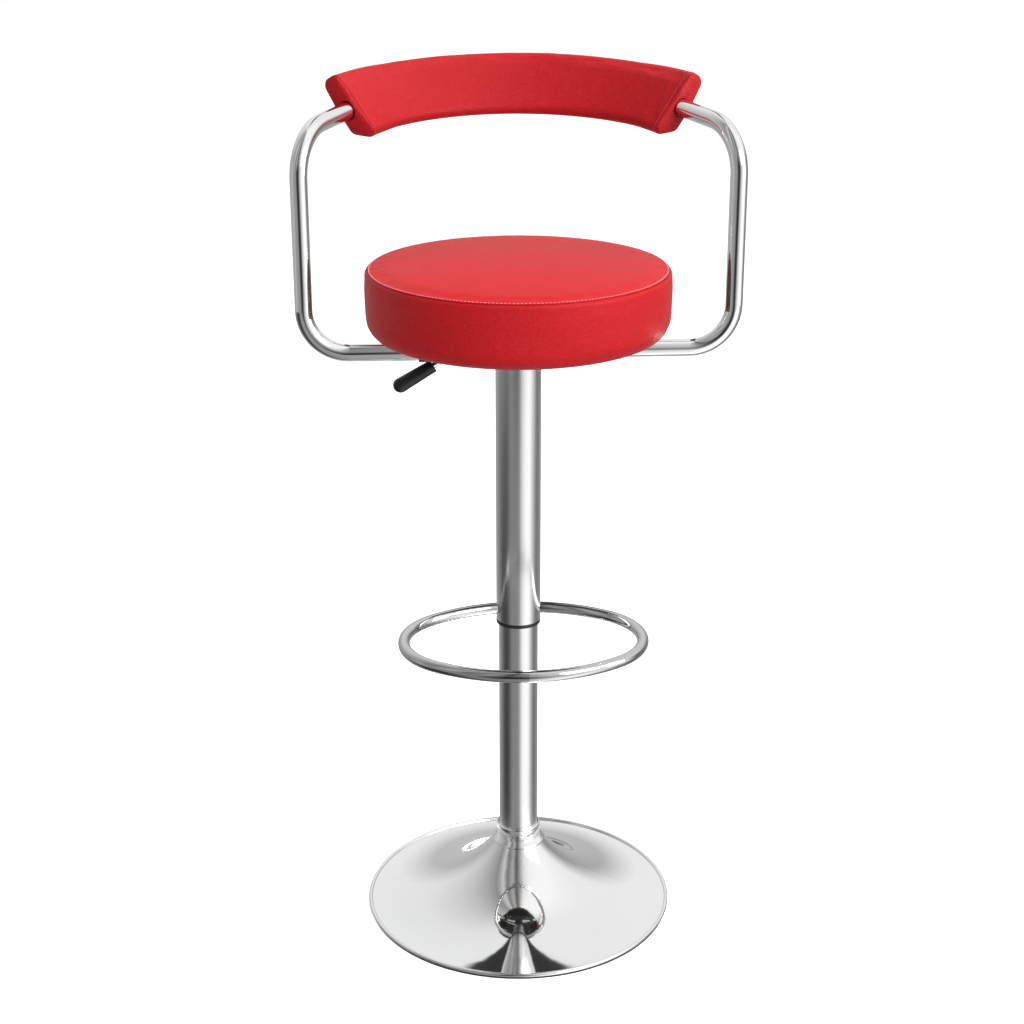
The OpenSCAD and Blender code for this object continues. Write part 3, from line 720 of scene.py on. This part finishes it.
# ---------------------------------------------------------------- stage and light
def make_stage():
    """A pale floor that the chrome doesn't mirror, so that its bands come from the world alone."""
    s = 12.0    # half of the floor's side
    me = bpy.data.meshes.new("floor")
    me.from_pydata([(-s, -s, 0), (s, -s, 0), (s, s, 0), (-s, s, 0)], [], [(0, 1, 2, 3)])
    floor = bpy.data.objects.new("floor", me)
    scene.collection.objects.link(floor)
    m, t, b, co = new_material("pale_floor")
    t.put(b, "Base Color", t.ramp(t.noise(co, 3, 3, 0.5), [(0.3, 0.93), (0.7, 0.95)]))
    b.inputs["Roughness"].default_value = 0.9
    b.inputs["Specular IOR Level"].default_value = 0.0
    b.inputs["Emission Color"].default_value = (1, 1, 1, 1)
    b.inputs["Emission Strength"].default_value = 0.72
    me.materials.append(m)
    floor.visible_glossy = False
    floor.visible_diffuse = False


def area(name, place, aim, size, power, glossy=False):
    """A soft light turned towards a point; glossy says whether the chrome mirrors it."""
    light = bpy.data.lights.new(name, "AREA")
    light.shape = "RECTANGLE"
    light.size, light.size_y = size
    light.energy = power
    ob = bpy.data.objects.new(name, light)
    scene.collection.objects.link(ob)
    ob.location = place
    ob.rotation_euler = (Vector(aim) - Vector(place)).to_track_quat("-Z", "Y").to_euler()
    ob.visible_glossy = glossy
    return ob


# The studio's brightness by direction, in degrees round from the camera's front towards +X, as the chrome
# mirrors it: level for the upright tubes of the column, a little higher for the arms, and high for the base.
COLUMN_BANDS = (
    (-176, 0.50), (-143, 0.42), (-115, 0.26), (-98, 0.13), (-84, 0.04), (-62, 0.05), (-48, 0.16), (-37, 0.30),
    (-12, 0.28), (-2, 0.31), (6, 0.40), (15, 0.90), (27, 1.25), (43, 1.42), (58, 1.38), (70, 0.90),
    (84, 0.42), (104, 0.16), (135, 0.34), (180, 0.50))
ARM_BANDS = (
    (-176, 0.55), (-138, 0.45), (-106, 0.38), (-84, 0.52), (-64, 0.34), (-31, 0.29), (-19, 0.10),
    (-10, 0.025), (2, 0.035), (12, 0.28), (31, 0.75), (47, 1.05), (64, 1.25), (84, 0.95), (104, 0.18),
    (138, 0.30), (180, 0.55))
HIGH_BANDS = (
    (-176.5, 0.88), (-150, 0.82), (-125, 0.66), (-95, 0.45), (-70, 0.28), (-52, 0.60), (-40, 0.20),
    (-22, 0.42), (-8, 0.10), (4, 0.30), (22, 0.80), (40, 0.95), (62, 1.0), (90, 1.0), (130, 0.88),
    (183.5, 0.88))


def make_world():
    world = bpy.data.worlds.new("studio")
    scene.world = world
    world.use_nodes = True
    t = Nodes(world.node_tree)
    out = t.add("ShaderNodeOutputWorld")
    d = t.add("ShaderNodeTexCoord").outputs["Generated"]
    x, y, z = t.add("ShaderNodeSeparateXYZ", {"Vector": d}).outputs
    # the direction round the room, from 0 to 1 over a full turn: 0.5 is the front, and it grows towards +X
    turn = t.math("MULTIPLY_ADD", t.math("ARCTAN2", x, t.math("MULTIPLY", y, -1.0)), 1 / (2 * math.pi), 0.5)

    def bands(stops):
        return t.ramp(turn, [(0.5 + (deg - CAMERA_TURN) / 360, light) for deg, light in stops])

    # a dark upright card behind the object, widening upwards
    off = t.math("ABSOLUTE", t.math("SUBTRACT", t.math("FRACT", t.math("SUBTRACT", turn, 0.4903)), 0.5))
    width = t.math("MULTIPLY_ADD", t.math("SUBTRACT", z, 0.47), 0.05, 0.0016)
    card = t.math("MULTIPLY_ADD", t.math("SUBTRACT", width, off), 700.0, 0.5, clamp=True)
    high = t.mix(card, bands(HIGH_BANDS), (0.035, 0.035, 0.037, 1))
    # height in the room, from 0 straight down to 1 straight up
    level = t.math("MULTIPLY_ADD", z, 0.5, 0.5)
    to_arm = t.ramp(level, [(0.352, 0.0), (0.378, 1.0)])
    to_high = t.ramp(level, [(0.56, 0.0), (0.70, 1.0)])
    shine = t.mix(to_high, t.mix(to_arm, bands(COLUMN_BANDS), bands(ARM_BANDS)), high)
    glossy = t.add("ShaderNodeBackground", {"Color": shine, "Strength": 1.0})
    soft = t.ramp(level, [(0.45, 0.62), (0.80, 0.40)])
    plain = t.add("ShaderNodeBackground", {"Color": soft, "Strength": 1.0})
    seen = t.add("ShaderNodeBackground", {"Color": (1, 1, 1, 1), "Strength": 1.0})
    path = t.add("ShaderNodeLightPath")
    inside = t.add("ShaderNodeMixShader",
                   {0: path.outputs["Is Glossy Ray"], 1: plain.outputs[0], 2: glossy.outputs[0]})
    whole = t.add("ShaderNodeMixShader",
                  {0: path.outputs["Is Camera Ray"], 1: inside.outputs[0], 2: seen.outputs[0]})
    t.tree.links.new(whole.outputs[0], out.inputs["Surface"])


make_stage()
make_world()
area("key", (2.12, -2.36, 2.28), (0, 0, 0.8), (1.5, 1.5), 94, glossy=True)
area("top", (1.26, 1.06, 3.46), (0, 0, 0.6), (2.4, 2.4), 100)
strip = area("strip", (2.2, -1.0, 1.35), (0, 0, 0.85), (0.7, 1.5), 16, glossy=True)
strip.visible_diffuse = False
scene.view_settings.view_transform = "Standard"
scene.view_settings.look = "None"
scene.view_settings.exposure = 0.0
